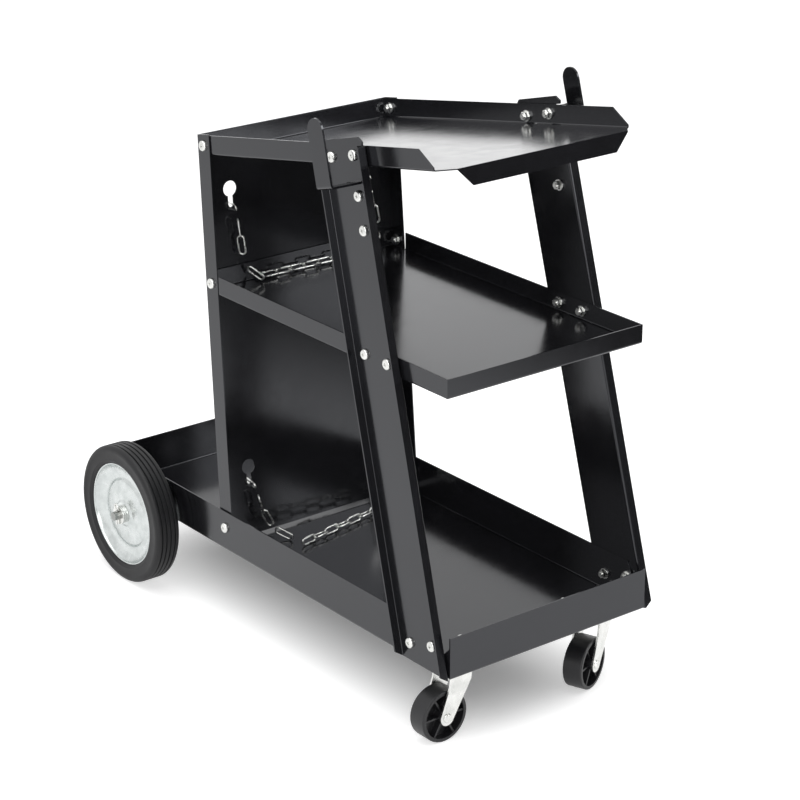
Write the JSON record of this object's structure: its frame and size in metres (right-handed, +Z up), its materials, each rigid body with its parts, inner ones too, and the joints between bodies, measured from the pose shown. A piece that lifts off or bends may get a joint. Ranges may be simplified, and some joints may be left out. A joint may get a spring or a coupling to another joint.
{
  "type": "welding cart",
  "caption": "Open steel cart with a base tray, a middle shelf and a sloping top shelf, two rear wheels, two swivel casters, cable hooks and retaining chains.",
  "frame": {"origin": "on the floor, in the middle of the cart's overall length and width", "axes": "+X towards the swivel casters, +Y towards the left side, +Z up"},
  "size_m": [0.7484, 0.4106, 0.7395],
  "materials": {
    "powder_coat": "gloss black powder coat",
    "zinc_plate": "bright zinc plate",
    "bright_steel": "drawn steel",
    "tyre_rubber": "solid black rubber",
    "wheel_plastic": "moulded black plastic",
    "bush_plastic": "moulded dark plastic"
  },
  "bodies": {
    "trolley": {"base_tray": "powder_coat", "middle_shelf": "powder_coat", "top_shelf": "powder_coat", "back_panel": "powder_coat", "leg_right": "powder_coat", "leg_left": "powder_coat", "cable_hook_right": "powder_coat", "cable_hook_left": "powder_coat", "rear_axle": "bright_steel", "axle_saddle_right": "zinc_plate", "axle_saddle_left": "zinc_plate", "axle_washers": "zinc_plate", "split_pins": "zinc_plate", "caster_plate_right": "zinc_plate", "caster_plate_left": "zinc_plate", "king_pin_right": "zinc_plate", "king_pin_left": "zinc_plate", "ball_race_right": "zinc_plate", "ball_race_left": "zinc_plate", "leg_bolts_right": "zinc_plate", "leg_bolts_left": "zinc_plate", "leg_nuts_right": "zinc_plate", "leg_nuts_left": "zinc_plate", "panel_bolts": "zinc_plate", "panel_nuts": "zinc_plate", "caster_bolts": "zinc_plate", "caster_nuts": "zinc_plate", "saddle_bolts": "zinc_plate", "saddle_nuts": "zinc_plate", "chain_upper": "zinc_plate", "chain_lower": "zinc_plate"},
    "wheel_right": {"tyre_right": "tyre_rubber", "rim_right": "zinc_plate", "hub_tube_right": "zinc_plate", "hub_bush_right": "bush_plastic"},
    "wheel_left": {"tyre_left": "tyre_rubber", "rim_left": "zinc_plate", "hub_tube_left": "zinc_plate", "hub_bush_left": "bush_plastic"},
    "swivel_right": {"caster_fork_right": "zinc_plate", "caster_axle_right": "zinc_plate"},
    "swivel_left": {"caster_fork_left": "zinc_plate", "caster_axle_left": "zinc_plate"},
    "roller_right": {"caster_wheel_right": "wheel_plastic"},
    "roller_left": {"caster_wheel_left": "wheel_plastic"}
  },
  "joints": [
    {"name": "wheel_spin_right", "type": "hinge", "parent": "trolley", "child": "wheel_right", "pos_m": [-0.279, -0.178, 0.095], "axis": [0, 1, 0], "continuous": true},
    {"name": "wheel_spin_left", "type": "hinge", "parent": "trolley", "child": "wheel_left", "pos_m": [-0.279, 0.178, 0.095], "axis": [0, 1, 0], "continuous": true},
    {"name": "swivel_turn_right", "type": "hinge", "parent": "trolley", "child": "swivel_right", "pos_m": [0.328, -0.112, 0.087], "axis": [0, 0, 1], "continuous": true},
    {"name": "swivel_turn_left", "type": "hinge", "parent": "trolley", "child": "swivel_left", "pos_m": [0.328, 0.112, 0.087], "axis": [0, 0, 1], "continuous": true},
    {"name": "roller_spin_right", "type": "hinge", "parent": "swivel_right", "child": "roller_right", "pos_m": [0.328, -0.134, 0.0335], "axis": [1, 0, 0], "continuous": true},
    {"name": "roller_spin_left", "type": "hinge", "parent": "swivel_left", "child": "roller_left", "pos_m": [0.33588, 0.09146, 0.0335], "axis": [0.9336, 0.3584, 0], "continuous": true}
  ]
}
